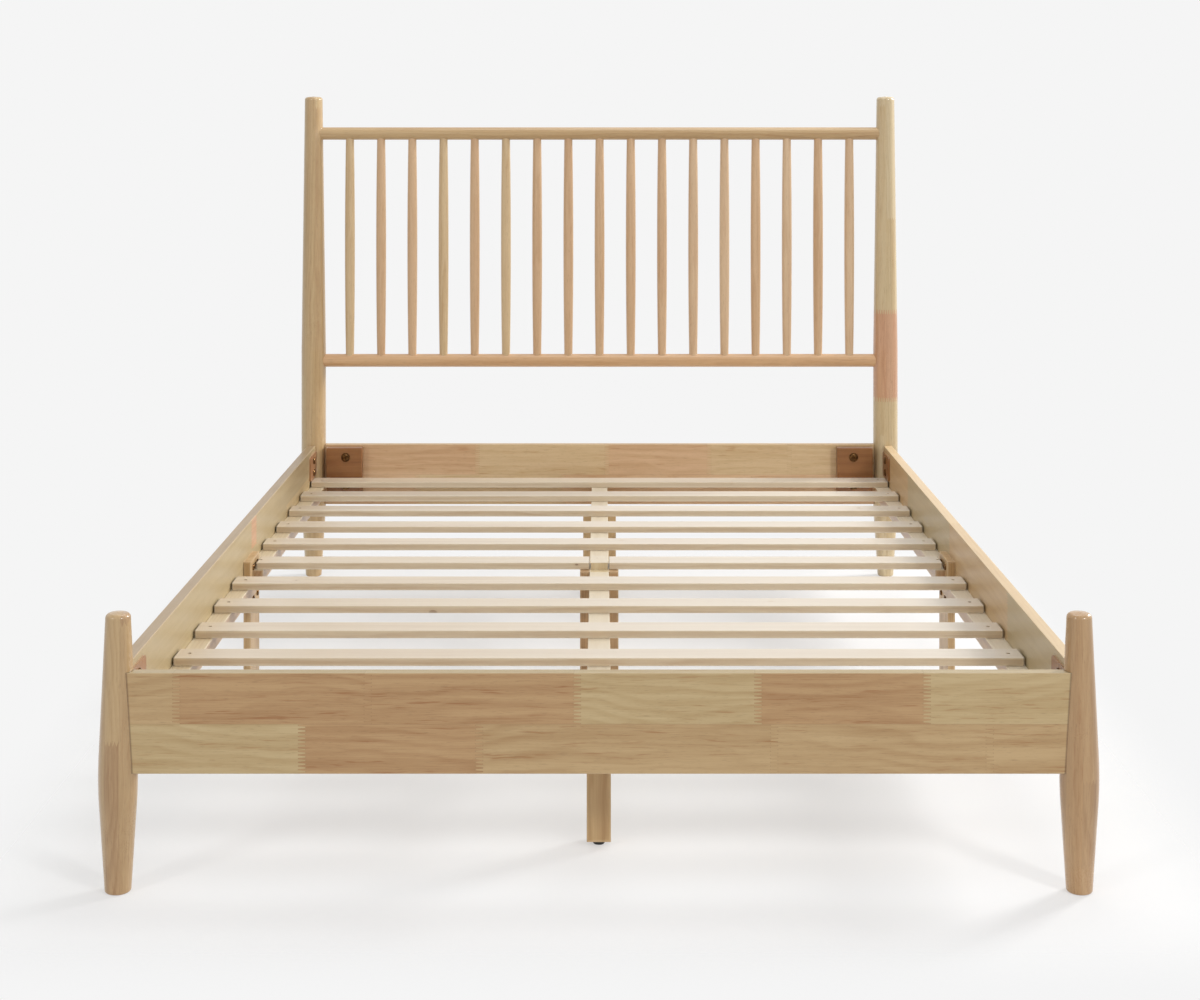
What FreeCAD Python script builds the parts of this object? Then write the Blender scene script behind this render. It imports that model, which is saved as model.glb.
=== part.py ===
import FreeCAD, Part
import math
import os
import Sketcher
from FreeCAD import Rotation, Vector

# A wooden spindle bed, in millimetres. X runs across the bed, +Y points to the headboard and +Z up.
# The origin is on the floor, midway between the four posts.

SIZES = {
    # Posts, turned, with their thickest place above the floor. The spacings are from axis to axis.
    "post_spacing_wide": 1570,
    "post_spacing_long": 2113,
    "head_post_height": 1315,
    "foot_post_height": 456,
    "post_toe_dia": 42.5,
    "head_post_dia": 66.6,
    "head_post_belly_z": 187,
    "head_post_taper_z": 620,
    "head_post_tip_dia": 48.4,
    "foot_post_dia": 65.8,
    "foot_post_belly_z": 182,
    "foot_post_tip_dia": 40.4,
    "post_belly_round": 750,
    "post_toe_round": 4,
    "post_tip_round": 8,
    "post_tip_dome": 2.5,
    # Round rails of the headboard and the spindles between them.
    "top_rail_drop": 102,
    "top_rail_dia": 34.4,
    "lower_rail_z": 590,
    "lower_rail_dia": 35.4,
    "head_rail_end_inset": 12,
    "spindle_count": 17,
    "outer_spindle_inset": 99.4,
    "spindle_end_dia": 22,
    "spindle_middle_dia": 27.4,
    "spindle_end_inset": 6,
    # Boards of the bedstead. Each board's end stands in a housing in the post.
    "frame_top_z": 361,
    "board_height": 164,
    "board_thickness": 21,
    "foot_board_ahead": 18,
    "head_board_ahead": 10.5,
    "board_end_inset": 12,
    "side_rail_height": 164,
    "side_rail_thickness": 22,
    "side_rail_outward": 2,
    "side_rail_end_inset": 14,
    "board_edge_round": 1.5,
    "joint_gap": 0.2,
    # Ledgers on the side rails, under the slats' ends.
    "ledger_top_z": 266,
    "ledger_width": 37,
    "ledger_height": 28,
    "ledger_end_inset": 76.5,
    "ledger_foot_gap": 49,
    # Slats, evenly spaced either side of a middle one, which the centre post cuts in two. The
    # middle one and the centre post stand a little nearer the headboard than the bed's middle.
    "slat_steps_each_way": 5,
    "slat_row_shift": 47,
    "outer_slat_inset": 99.5,
    "slat_end_gap": 3.5,
    "slat_width": 60,
    "slat_thickness": 15,
    "small_edge_round": 1.5,
    "cross_slat_inner_gap": 3,
    "cross_slat_outer_gap": 6,
    # Centre beam in two halves, its post, cheeks and legs.
    "beam_width": 42,
    "beam_height": 55,
    "beam_end_gap": 0.3,
    "middle_depth": 105,
    "middle_tongue_width": 37,
    "cheek_thickness": 21,
    "centre_leg_inset": 203.5,
    "centre_leg_depth": 42,
    "head_leg_width": 86,
    "centre_leg_toe_z": 9.5,
    # Side legs, bolted inside the side rails near mid-length.
    "side_leg_thickness": 16,
    "side_leg_depth": 105,
    "side_leg_top_z": 290,
    "side_leg_shift": 35,
    "leg_bolt_spacing_y": 50,
    "leg_bolt_high_z": 273,
    "leg_bolt_low_z": 205,
    # Blocks bolted to the head and foot boards beside the posts.
    "block_width": 97,
    "block_height": 128,
    "block_thickness": 28,
    "block_post_gap": 6.7,
    "block_drop_head": 5,
    "block_drop_foot": 17,
    "block_bolt_inset": 52.5,
    "block_bolt_drop": 25.5,
    "block_bolt_spacing": 76,
    # Plates bolted inside the ends of the side rails.
    "plate_length": 104,
    "plate_height": 66,
    "plate_thickness": 4,
    "plate_corner_round": 10,
    "plate_drop": 13,
    "plate_post_gap": 0.8,
    "plate_bolt_inset": 52,
    "plate_bolt_drop": 18,
    "plate_bolt_spacing": 32,
    # Hex socket bolts with their washers, and the slats' screws.
    "bolt_dia": 8,
    "bolt_grip": 16,
    "bolt_tip_gap": 1,
    "bolt_head_dia": 18,
    "bolt_head_height": 3.5,
    "bolt_head_crown": 1.6,
    "bolt_socket_dia": 5.6,
    "bolt_socket_depth": 2.6,
    "washer_dia": 24,
    "washer_thickness": 1.6,
    "leg_bolt_head_dia": 13,
    "hole_gap": 0.2,
    "screw_dia": 4,
    "screw_head_dia": 7.6,
    "screw_length": 32,
    "screw_point_length": 6,
    "screw_point_dia": 1.2,
    "screw_sink": 2.5,
    "screw_inset": 23,
    # Levelling glides under the centre post and the centre legs.
    "glide_dia": 20,
    "glide_pad_height": 6,
    "glide_pad_edge": 1,
    "glide_thread_dia": 8,
    "glide_thread_top_z": 28,
    "glide_thread_gap": 0.06,
    "insert_dia": 12,
    "insert_length": 18,
    "glide_bore_depth": 40,
}

LEFT, RIGHT = -1, 1
FOOT, HEAD = -1, 1
SIDE_NAMES = {LEFT: "left", RIGHT: "right"}
END_NAMES = {FOOT: "foot", HEAD: "head"}

# Places that several pieces share, as formulas in words of the sheet.
TOP_RAIL_Z = "( head_post_height - top_rail_drop )"
SPINDLE_PITCH = "( ( post_spacing_wide - 2 * outer_spindle_inset ) / ( spindle_count - 1 ) )"
RAIL_INNER_X = "( post_spacing_wide / 2 + side_rail_outward - side_rail_thickness / 2 )"
SLAT_END_X = f"( {RAIL_INNER_X} - slat_end_gap )"
SCREW_X = f"( {SLAT_END_X} - screw_inset )"
SLAT_PITCH = "( ( post_spacing_long / 2 - outer_slat_inset - slat_row_shift ) / slat_steps_each_way )"
LEDGER_END_Y = "( post_spacing_long / 2 - ledger_end_inset )"
CENTRE_LEG_Y = "( post_spacing_long / 2 - centre_leg_inset )"
PLATE_END_Y = "( post_spacing_long / 2 - head_post_dia / 2 - plate_post_gap )"
PLATE_BOLT_Y = f"( {PLATE_END_Y} - plate_bolt_inset )"
BLOCK_END_X = "( post_spacing_wide / 2 - head_post_dia / 2 - block_post_gap )"
BLOCK_CENTRE_X = f"( {BLOCK_END_X} - block_width / 2 )"
BLOCK_BOLT_X = f"( {BLOCK_END_X} - block_bolt_inset )"
BLOCK_DROP = {HEAD: "block_drop_head", FOOT: "block_drop_foot"}
BOARD_MIDDLE_Y = {
    HEAD: "( post_spacing_long / 2 - head_board_ahead + board_thickness / 2 )",
    FOOT: "( -1 * post_spacing_long / 2 - foot_board_ahead + board_thickness / 2 )",
}
BOARD_FACE_Y = {end: f"( {BOARD_MIDDLE_Y[end]} - {end} * board_thickness / 2 )" for end in (HEAD, FOOT)}
GLIDE_Y = {"foot": f"-1 * {CENTRE_LEG_Y}", "middle": "slat_row_shift", "head": CENTRE_LEG_Y}

doc = FreeCAD.newDocument("spindle_bed")
nodes = []


def make_sheet(values):
    """The spreadsheet of driving sizes, one aliased cell each."""
    table = doc.addObject("Spreadsheet::Sheet", "sizes")
    for row, (name, value) in enumerate(values.items(), 1):
        table.set(f"A{row}", name)
        table.set(f"B{row}", str(value))
        table.setAlias(f"B{row}", name)
    doc.recompute()
    return table


sheet = make_sheet(SIZES)


def size(name):
    return float(sheet.get(name))


def cell(text):
    """A formula in words of the sheet, as an expression: every size name gets the sheet's name."""
    words = text.replace("(", " ( ").replace(")", " ) ").split()
    return " ".join(f"sizes.{word}" if word in SIZES else word for word in words)


def keep(piece):
    nodes.append(piece)
    return piece


def new_body(label):
    body = doc.addObject("PartDesign::Body", label)
    body.Label = label
    return body


def place(body, x="0", y="0", z="0"):
    for axis, text in zip("xyz", (x, y, z)):
        body.setExpression(f"Placement.Base.{axis}", cell(text))


def origin_feature(body, role):
    return next(item for item in body.Origin.OriginFeatures if item.Role == role)


def new_sketch(body, role, offset="0"):
    """A sketch on one of the body's origin planes, moved along that plane's normal by offset."""
    sketch = body.newObject("Sketcher::SketchObject", "sketch")
    sketch.AttachmentSupport = (origin_feature(body, role), "")
    sketch.MapMode = "FlatFace"
    sketch.setExpression("AttachmentOffset.Base.z", cell(offset))
    return sketch


def value_of(text):
    """The number that a formula in words of the sheet gives now."""
    return float(sheet.evalExpression(cell(text)))


def hold_point(sketch, geometry, end, now, x, y):
    """Ties one point of a sketch to the formulas x and y, measured from the sketch's origin."""
    for kind, value, text in (("DistanceX", now.x, x), ("DistanceY", now.y, y)):
        number = sketch.addConstraint(Sketcher.Constraint(kind, -1, 1, geometry, end, value))
        sketch.setExpression(f"Constraints[{number}]", cell(text))


def draw_outline(sketch, corners, rounds=None):
    """A closed outline through corners, each a pair of formulas, anticlockwise.

    rounds gives the radius, as a formula, for each corner that is rounded.
    """
    points = [Vector(value_of(x), value_of(y), 0) for x, y in corners]
    rounds = rounds or {}
    starts, ends, arcs = list(points), list(points), {}
    for index, radius_text in rounds.items():
        corner, radius = points[index], value_of(radius_text)
        back = (points[index - 1] - corner).normalize()
        onward = (points[(index + 1) % len(points)] - corner).normalize()
        half_angle = back.getAngle(onward) / 2
        reach = radius / math.tan(half_angle)
        ends[index], starts[index] = corner + back * reach, corner + onward * reach
        inward = (back + onward).normalize()
        middle = corner + inward * (radius / math.sin(half_angle) - radius)
        arcs[index] = Part.Arc(ends[index], middle, starts[index])
    count = len(points)
    for index in range(count):
        sketch.addGeometry(Part.LineSegment(starts[index], ends[(index + 1) % count]), False)
    for index in range(count):
        before = (index - 1) % count
        if index not in rounds:
            sketch.addConstraint(Sketcher.Constraint("Coincident", before, 2, index, 1))
            hold_point(sketch, index, 1, points[index], *corners[index])
            continue
        arc = sketch.addGeometry(arcs[index], False)
        corner = sketch.addGeometry(Part.Point(points[index]), True)
        hold_point(sketch, corner, 1, points[index], *corners[index])
        sketch.addConstraint(Sketcher.Constraint("Tangent", before, 2, arc, 1))
        sketch.addConstraint(Sketcher.Constraint("Tangent", arc, 2, index, 1))
        sketch.addConstraint(Sketcher.Constraint("PointOnObject", corner, 1, before))
        sketch.addConstraint(Sketcher.Constraint("PointOnObject", corner, 1, index))
        number = sketch.addConstraint(Sketcher.Constraint("Radius", arc, value_of(rounds[index])))
        sketch.setExpression(f"Constraints[{number}]", cell(rounds[index]))


def draw_box(sketch, width, height, x="0", y="0"):
    """A rectangle of width by height about the point x, y."""
    low_x, high_x = f"{x} - ( {width} ) / 2", f"{x} + ( {width} ) / 2"
    low_y, high_y = f"{y} - ( {height} ) / 2", f"{y} + ( {height} ) / 2"
    corners = [(low_x, low_y), (high_x, low_y), (high_x, high_y), (low_x, high_y)]
    draw_outline(sketch, corners)


def draw_circle(sketch, diameter, x="0", y="0"):
    centre = Vector(value_of(x), value_of(y), 0)
    circle = Part.Circle(centre, Vector(0, 0, 1), value_of(diameter) / 2)
    index = sketch.addGeometry(circle, False)
    hold_point(sketch, index, 3, centre, x, y)
    number = sketch.addConstraint(Sketcher.Constraint("Diameter", index, value_of(diameter)))
    sketch.setExpression(f"Constraints[{number}]", cell(diameter))


def pad_both_ways(body, sketch, length):
    pad = body.newObject("PartDesign::Pad", "pad")
    pad.Profile = sketch
    pad.SideType = "Symmetric"
    pad.setExpression("Length", cell(length))
    doc.recompute()
    return pad


def turn(body, sketch):
    """A solid of revolution about the sketch's upright axis."""
    turned = body.newObject("PartDesign::Revolution", "turned")
    turned.Profile = sketch
    turned.ReferenceAxis = (sketch, ["V_Axis"])
    turned.Angle = 360
    doc.recompute()
    return turned


def cut(body, sketch, depth=None, backwards=False):
    """A pocket from the sketch, through everything or to a depth. It has to take material away."""
    before = body.Tip.Shape.Volume
    pocket = body.newObject("PartDesign::Pocket", "pocket")
    pocket.Profile = sketch
    pocket.Reversed = backwards
    if depth is None:
        pocket.Type = "ThroughAll"
    else:
        pocket.Type = "Length"
        pocket.setExpression("Length", cell(depth))
    doc.recompute()
    if pocket.Shape.Volume >= before:
        raise RuntimeError(f"{body.Label}: a pocket cuts nothing")
    return pocket


def ease(body, base, edges, radius):
    """A fillet on the named edges of base."""
    fillet = body.newObject("PartDesign::Fillet", "eased")
    fillet.Base = (base, edges)
    fillet.setExpression("Radius", cell(radius))
    doc.recompute()
    return fillet


def edges_along(feature, axis):
    """Names of the straight edges that run along an axis of the body."""
    found = []
    for number, edge in enumerate(feature.Shape.Edges, 1):
        box = edge.BoundBox
        extents = {"x": box.XLength, "y": box.YLength, "z": box.ZLength}
        along = extents.pop(axis)
        if along > 1 and max(extents.values()) < 0.001:
            found.append(f"Edge{number}")
    return found


PLANE_ACROSS = {"x": "YZ_Plane", "y": "XZ_Plane", "z": "XY_Plane"}


def plank(label, axis, length, section, radius="small_edge_round", at=("0", "0", "0")):
    """A straight piece along an axis, of a rectangular section with its long edges rounded."""
    body = new_body(label)
    sketch = new_sketch(body, PLANE_ACROSS[axis])
    draw_box(sketch, *section)
    pad = pad_both_ways(body, sketch, length)
    ease(body, pad, edges_along(pad, axis), radius)
    place(body, *at)
    return keep(body)


# ---- posts ----

def post_blank(label, height, belly_dia, belly_z, tip_dia, straight_to=None):
    """A turned post: a taper up from the toe, a thick place, and a long taper to a domed tip."""
    corners = [("0", "0"), ("post_toe_dia / 2", "0"), (f"{belly_dia} / 2", belly_z)]
    rounds = {1: "post_toe_round", 2: "post_belly_round"}
    if straight_to:
        corners.append((f"{belly_dia} / 2", straight_to))
    rounds[len(corners)] = "post_tip_round"
    corners += [(f"{tip_dia} / 2", f"{height} - post_tip_dome"), ("0", height)]
    body = new_body(label)
    sketch = new_sketch(body, "XZ_Plane")
    draw_outline(sketch, corners, rounds)
    turn(body, sketch)
    return keep(body)


def house_board(body, side, end):
    """The housing for the end of a head or foot board, open towards the middle of the bed."""
    sketch = new_sketch(body, "YZ_Plane", f"{-side} * ( board_end_inset - joint_gap )")
    draw_box(sketch, "board_thickness + 2 * joint_gap", "board_height + 2 * joint_gap",
             f"{BOARD_MIDDLE_Y[end]} - {end} * post_spacing_long / 2", "frame_top_z - board_height / 2")
    cut(body, sketch, backwards=(side == LEFT))


def house_side_rail(body, side, end):
    """The housing for the end of a side rail, open towards the other end of the bed."""
    sketch = new_sketch(body, "XZ_Plane", f"{end} * ( side_rail_end_inset - joint_gap )")
    draw_box(sketch, "side_rail_thickness + 2 * joint_gap", "side_rail_height + 2 * joint_gap",
             f"{side} * side_rail_outward", "frame_top_z - side_rail_height / 2")
    cut(body, sketch, backwards=(end == HEAD))


def house_round_rail(body, side, diameter, height):
    """The socket for the end of a round head rail."""
    sketch = new_sketch(body, "YZ_Plane", f"{-side} * ( head_rail_end_inset - joint_gap )")
    draw_circle(sketch, f"{diameter} + 2 * joint_gap", "0", height)
    cut(body, sketch, backwards=(side == LEFT))


def make_head_post(side):
    body = post_blank(f"head_post_{SIDE_NAMES[side]}", "head_post_height", "head_post_dia",
                      "head_post_belly_z", "head_post_tip_dia", "head_post_taper_z")
    house_board(body, side, HEAD)
    house_side_rail(body, side, HEAD)
    house_round_rail(body, side, "top_rail_dia", TOP_RAIL_Z)
    house_round_rail(body, side, "lower_rail_dia", "lower_rail_z")
    place(body, f"{side} * post_spacing_wide / 2", "post_spacing_long / 2")


def make_foot_post(side):
    body = post_blank(f"foot_post_{SIDE_NAMES[side]}", "foot_post_height", "foot_post_dia",
                      "foot_post_belly_z", "foot_post_tip_dia")
    house_board(body, side, FOOT)
    house_side_rail(body, side, FOOT)
    place(body, f"{side} * post_spacing_wide / 2", "-1 * post_spacing_long / 2")


# ---- headboard rails and spindles ----

def make_head_rail(label, height, diameter, open_side):
    """A round rail with a row of sockets on one side: +1 for sockets that open upwards."""
    body = new_body(label)
    sketch = new_sketch(body, "YZ_Plane")
    draw_circle(sketch, diameter)
    pad_both_ways(body, sketch, "post_spacing_wide - 2 * head_rail_end_inset")
    row = f"( spindle_count - 1 ) * {SPINDLE_PITCH}"
    first = new_sketch(body, "XY_Plane", f"{open_side} * ( spindle_end_inset - joint_gap )")
    draw_circle(first, "spindle_end_dia + 2 * joint_gap", f"-1 * {row} / 2", "0")
    socket = cut(body, first, backwards=(open_side == 1))
    pattern = body.newObject("PartDesign::LinearPattern", "sockets")
    pattern.Originals = [socket]
    pattern.Direction = (origin_feature(body, "X_Axis"), [""])
    pattern.setExpression("Length", cell(row))
    pattern.setExpression("Occurrences", cell("spindle_count"))
    body.Tip = pattern
    doc.recompute()
    place(body, "0", "post_spacing_long / 2", height)
    keep(body)


def make_spindle(number):
    """A turned spindle: an arc from end to end, thickest at the middle."""
    body = new_body(f"spindle_{number:02d}")
    half = f"( ( {TOP_RAIL_Z} - lower_rail_z ) / 2 - spindle_end_inset )"
    swell = "( ( spindle_middle_dia - spindle_end_dia ) / 2 )"
    radius = f"( ( {half} ^ 2 + {swell} ^ 2 ) / ( 2 * {swell} ) )"
    sketch = new_sketch(body, "XZ_Plane")
    end_radius, half_now, radius_now = value_of("spindle_end_dia / 2"), value_of(half), value_of(radius)
    low, high = Vector(end_radius, -half_now, 0), Vector(end_radius, half_now, 0)
    belly = Vector(value_of("spindle_middle_dia / 2"), 0, 0)
    sketch.addGeometry(Part.LineSegment(Vector(0, high.y, 0), Vector(0, low.y, 0)), False)
    sketch.addGeometry(Part.LineSegment(Vector(0, low.y, 0), low), False)
    sketch.addGeometry(Part.Arc(low, belly, high), False)
    sketch.addGeometry(Part.LineSegment(high, Vector(0, high.y, 0)), False)
    for first, second in (((0, 2), (1, 1)), ((1, 2), (2, 1)), ((2, 2), (3, 1)), ((3, 2), (0, 1))):
        sketch.addConstraint(Sketcher.Constraint("Coincident", *first, *second))
    hold_point(sketch, 0, 1, Vector(0, half_now, 0), "0", half)
    hold_point(sketch, 0, 2, Vector(0, -half_now, 0), "0", f"-1 * {half}")
    hold_point(sketch, 1, 2, low, "spindle_end_dia / 2", f"-1 * {half}")
    hold_point(sketch, 3, 1, high, "spindle_end_dia / 2", half)
    index = sketch.addConstraint(Sketcher.Constraint("Radius", 2, radius_now))
    sketch.setExpression(f"Constraints[{index}]", cell(radius))
    turn(body, sketch)
    place(body, f"( {number} - ( spindle_count + 1 ) / 2 ) * {SPINDLE_PITCH}", "post_spacing_long / 2",
          f"( {TOP_RAIL_Z} + lower_rail_z ) / 2")
    keep(body)


# ---- boards and side rails ----

def drill(body, role, offset, holes, diameter, depth=None, backwards=False):
    """Round holes from a plane of the body, each at a pair of formulas."""
    sketch = new_sketch(body, role, offset)
    for x, y in holes:
        draw_circle(sketch, diameter, x, y)
    cut(body, sketch, depth, backwards)


def block_bolt_heights(end):
    high = f"( frame_top_z - {BLOCK_DROP[end]} - block_bolt_drop )"
    return high, f"( {high} - block_bolt_spacing )"


def plate_bolt_heights():
    high = "( frame_top_z - plate_drop - plate_bolt_drop )"
    return high, f"( {high} - plate_bolt_spacing )"


def make_board(end):
    """The head or foot board, with the blind holes for the block bolts in its inner face."""
    body = plank(f"{END_NAMES[end]}_board", "x", "post_spacing_wide - 2 * board_end_inset",
                 ("board_thickness", "board_height"), "board_edge_round",
                 ("0", BOARD_MIDDLE_Y[end], "frame_top_z - board_height / 2"))
    heights = [f"{z} - frame_top_z + board_height / 2" for z in block_bolt_heights(end)]
    holes = [(f"{side} * {BLOCK_BOLT_X}", z) for side in (LEFT, RIGHT) for z in heights]
    drill(body, "XZ_Plane", f"{end} * board_thickness / 2", holes, "bolt_dia + 2 * hole_gap",
          "bolt_grip + hole_gap", backwards=(end == FOOT))


def make_side_rail(side):
    """A side rail, with the blind holes for the plate bolts and the leg bolts in its inner face."""
    body = plank(f"side_rail_{SIDE_NAMES[side]}", "y", "post_spacing_long - 2 * side_rail_end_inset",
                 ("side_rail_thickness", "side_rail_height"), "board_edge_round",
                 (f"{side} * ( post_spacing_wide / 2 + side_rail_outward )", "0",
                  "frame_top_z - side_rail_height / 2"))
    middle = "frame_top_z + side_rail_height / 2"
    holes = [(f"{end} * {PLATE_BOLT_Y}", f"{z} - {middle}") for end in (FOOT, HEAD)
             for z in plate_bolt_heights()]
    holes += [(f"{way} * leg_bolt_spacing_y / 2 + side_leg_shift", f"{z} - {middle}") for way in (-1, 1)
              for z in ("leg_bolt_high_z", "leg_bolt_low_z")]
    drill(body, "YZ_Plane", f"{-side} * side_rail_thickness / 2", holes, "bolt_dia + 2 * hole_gap",
          "bolt_grip + hole_gap", backwards=(side == RIGHT))


# ---- ledgers and slats ----

def slat_stations(end=None):
    """The slats' numbers from the middle one, 0: all of them, or those towards one end of the bed."""
    steps = int(size("slat_steps_each_way"))
    numbers = range(-steps, steps + 1)
    return [number for number in numbers if end is None or number * end > 0]


def slat_y(station):
    return f"( slat_row_shift + {station} * {SLAT_PITCH} )"


SCREW_BORE_DEPTH = "screw_length + screw_sink - slat_thickness + hole_gap"


def make_ledger(side, end):
    """A ledger with a pilot hole for each slat's screw.

    The foot one stops short of the side leg. The head one is notched round it, and its tongue
    carries the outer end of a cross slat.
    """
    near_end = {HEAD: "( slat_row_shift - slat_width / 2 )",
                FOOT: "( side_leg_depth / 2 - side_leg_shift + ledger_foot_gap )"}[end]
    middle_x = f"( {RAIL_INNER_X} - ledger_width / 2 )"
    middle_y = f"{end} * ( {LEDGER_END_Y} + {near_end} ) / 2"
    body = plank(f"ledger_{SIDE_NAMES[side]}_{END_NAMES[end]}", "y", f"{LEDGER_END_Y} - {near_end}",
                 ("ledger_width", "ledger_height"), "small_edge_round",
                 (f"{side} * {middle_x}", middle_y, "ledger_top_z - ledger_height / 2"))
    stations = slat_stations(end) + ([0] if end == HEAD else [])
    across = f"{side} * ( {SCREW_X} - {middle_x} )"
    holes = [(across, f"{slat_y(station)} - {middle_y}") for station in stations]
    drill(body, "XY_Plane", "ledger_height / 2", holes, "screw_dia + 2 * hole_gap", SCREW_BORE_DEPTH)
    if end == HEAD:
        notch = new_sketch(body, "XY_Plane", "ledger_height / 2")
        width = "( side_leg_thickness + 2 * joint_gap )"
        near, far = f"( {near_end} - joint_gap )", "( side_leg_shift + side_leg_depth / 2 + joint_gap )"
        draw_box(notch, width, f"{far} - {near}", f"{side} * ( ledger_width / 2 + joint_gap - {width} / 2 )",
                 f"( {far} + {near} ) / 2 - {middle_y}")
        cut(body, notch)


def bore_for_screws(body, places):
    """A clearance hole and a sunk seat for the head of each screw."""
    drill(body, "XY_Plane", "slat_thickness / 2", places, "screw_dia + 2 * hole_gap")
    drill(body, "XY_Plane", "slat_thickness / 2", places, "screw_head_dia + 2 * hole_gap",
          "screw_sink + screw_head_dia / 2")


def make_slat(number, station):
    body = plank(f"slat_{number:02d}", "x", f"2 * {SLAT_END_X}", ("slat_width", "slat_thickness"),
                 "small_edge_round", ("0", slat_y(station), "ledger_top_z + slat_thickness / 2"))
    bore_for_screws(body, [(f"{side} * {SCREW_X}", "0") for side in (LEFT, RIGHT)])


CROSS_INNER_X = "( middle_tongue_width / 2 + cross_slat_inner_gap )"
CROSS_OUTER_X = f"( {RAIL_INNER_X} - side_leg_thickness - cross_slat_outer_gap )"


def make_cross_slat(side):
    """Half of the middle slat, from the centre post to a side leg."""
    middle = f"( ( {CROSS_INNER_X} + {CROSS_OUTER_X} ) / 2 )"
    body = plank(f"cross_slat_{SIDE_NAMES[side]}", "x", f"{CROSS_OUTER_X} - {CROSS_INNER_X}",
                 ("slat_width", "slat_thickness"), "small_edge_round",
                 (f"{side} * {middle}", "slat_row_shift", "ledger_top_z + slat_thickness / 2"))
    bore_for_screws(body, [(f"{side} * ( {SCREW_X} - {middle} )", "0")])


# ---- centre beam, post and legs ----

def bore_for_glide(body, x="0", y="0"):
    """The bore for a threaded insert and the glide's stem, up from the leg's foot."""
    sketch = new_sketch(body, "XY_Plane", BODY_FOOT[body.Label])
    draw_circle(sketch, "insert_dia + 2 * hole_gap", x, y)
    cut(body, sketch, "glide_bore_depth", backwards=True)


BODY_FOOT = {}


def upright(label, section, top, toe, at_x="0", at_y="0"):
    """A straight leg from its toe to its top."""
    BODY_FOOT[label] = f"-1 * ( {top} - {toe} ) / 2"
    return plank(label, "z", f"{top} - {toe}", section, "small_edge_round",
                 (at_x, at_y, f"( {top} + {toe} ) / 2"))


def make_beam_half(end):
    """Half of the centre beam, from the head or foot board to the centre post."""
    outer = f"( {end} * {BOARD_FACE_Y[end]} - beam_end_gap )"
    inner = f"( middle_depth / 2 + beam_end_gap + {end} * slat_row_shift )"
    plank(f"centre_beam_{END_NAMES[end]}", "y", f"{outer} - {inner}", ("beam_width", "beam_height"),
          "small_edge_round", ("0", f"{end} * ( {outer} + {inner} ) / 2", "ledger_top_z - beam_height / 2"))


def make_centre_post():
    """The middle post. A tongue on its top fills the gap between the two cross slats."""
    body = upright("centre_post", ("beam_width", "middle_depth"), "ledger_top_z", "centre_leg_toe_z",
                   at_y="slat_row_shift")
    sketch = new_sketch(body, "XY_Plane", "( ledger_top_z - centre_leg_toe_z ) / 2")
    draw_box(sketch, "middle_tongue_width", "slat_width")
    tongue = body.newObject("PartDesign::Pad", "tongue")
    tongue.Profile = sketch
    tongue.setExpression("Length", cell("slat_thickness"))
    doc.recompute()
    bore_for_glide(body)


def make_cheek(side):
    """A cheek on one side of the centre post. It carries the inner end of a cross slat."""
    upright(f"centre_cheek_{SIDE_NAMES[side]}", ("cheek_thickness", "middle_depth"), "ledger_top_z",
            "centre_leg_toe_z", f"{side} * ( beam_width / 2 + cheek_thickness / 2 )", "slat_row_shift")


def make_centre_leg(end):
    width = {FOOT: "beam_width", HEAD: "head_leg_width"}[end]
    body = upright(f"centre_leg_{END_NAMES[end]}", (width, "centre_leg_depth"),
                   "( ledger_top_z - beam_height )", "centre_leg_toe_z", "0", f"{end} * {CENTRE_LEG_Y}")
    bore_for_glide(body)


def make_side_leg(side):
    """A side leg, bolted to the inner face of a side rail near mid-length."""
    body = upright(f"side_leg_{SIDE_NAMES[side]}", ("side_leg_thickness", "side_leg_depth"), "side_leg_top_z",
                   "0", f"{side} * ( {RAIL_INNER_X} - side_leg_thickness / 2 )", "side_leg_shift")
    holes = [(f"{way} * leg_bolt_spacing_y / 2", f"{z} - side_leg_top_z / 2") for way in (-1, 1)
             for z in ("leg_bolt_high_z", "leg_bolt_low_z")]
    drill(body, "YZ_Plane", f"{-side} * side_leg_thickness / 2", holes, "bolt_dia + 2 * hole_gap",
          backwards=(side == RIGHT))


# ---- glides ----

def make_glide(name):
    """A levelling glide: a round pad on a threaded stem."""
    body = new_body(f"glide_{name}")
    sketch = new_sketch(body, "XZ_Plane")
    stem, rim, flat = "glide_thread_dia / 2", "glide_dia / 2", "glide_dia / 2 - glide_pad_edge"
    draw_outline(sketch, [("0", "0"), (flat, "0"), (rim, "glide_pad_edge"),
                          (rim, "glide_pad_height - glide_pad_edge"), (flat, "glide_pad_height"),
                          (stem, "glide_pad_height"), (stem, "glide_thread_top_z"),
                          ("0", "glide_thread_top_z")])
    turn(body, sketch)
    place(body, "0", GLIDE_Y[name])
    keep(body)


# ---- fasteners, each kind shaped once and then repeated ----

def turned_shape(corners):
    """A solid turned about the Z axis from an outline of radius and height."""
    points = [Vector(radius, 0, height) for radius, height in corners]
    face = Part.Face(Part.makePolygon(points + points[:1]))
    return face.revolve(Vector(0, 0, 0), Vector(0, 0, 1), 360)


def prism(points_across, bottom, top):
    face = Part.Face(Part.makePolygon([Vector(x, y, bottom) for x, y in points_across]))
    return face.extrude(Vector(0, 0, top - bottom))


def hexagon(across_corners):
    turns = [Rotation(Vector(0, 0, 1), 60 * step) for step in range(7)]
    return [tuple(turned.multVec(Vector(across_corners / 2, 0, 0)))[:2] for turned in turns]


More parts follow.
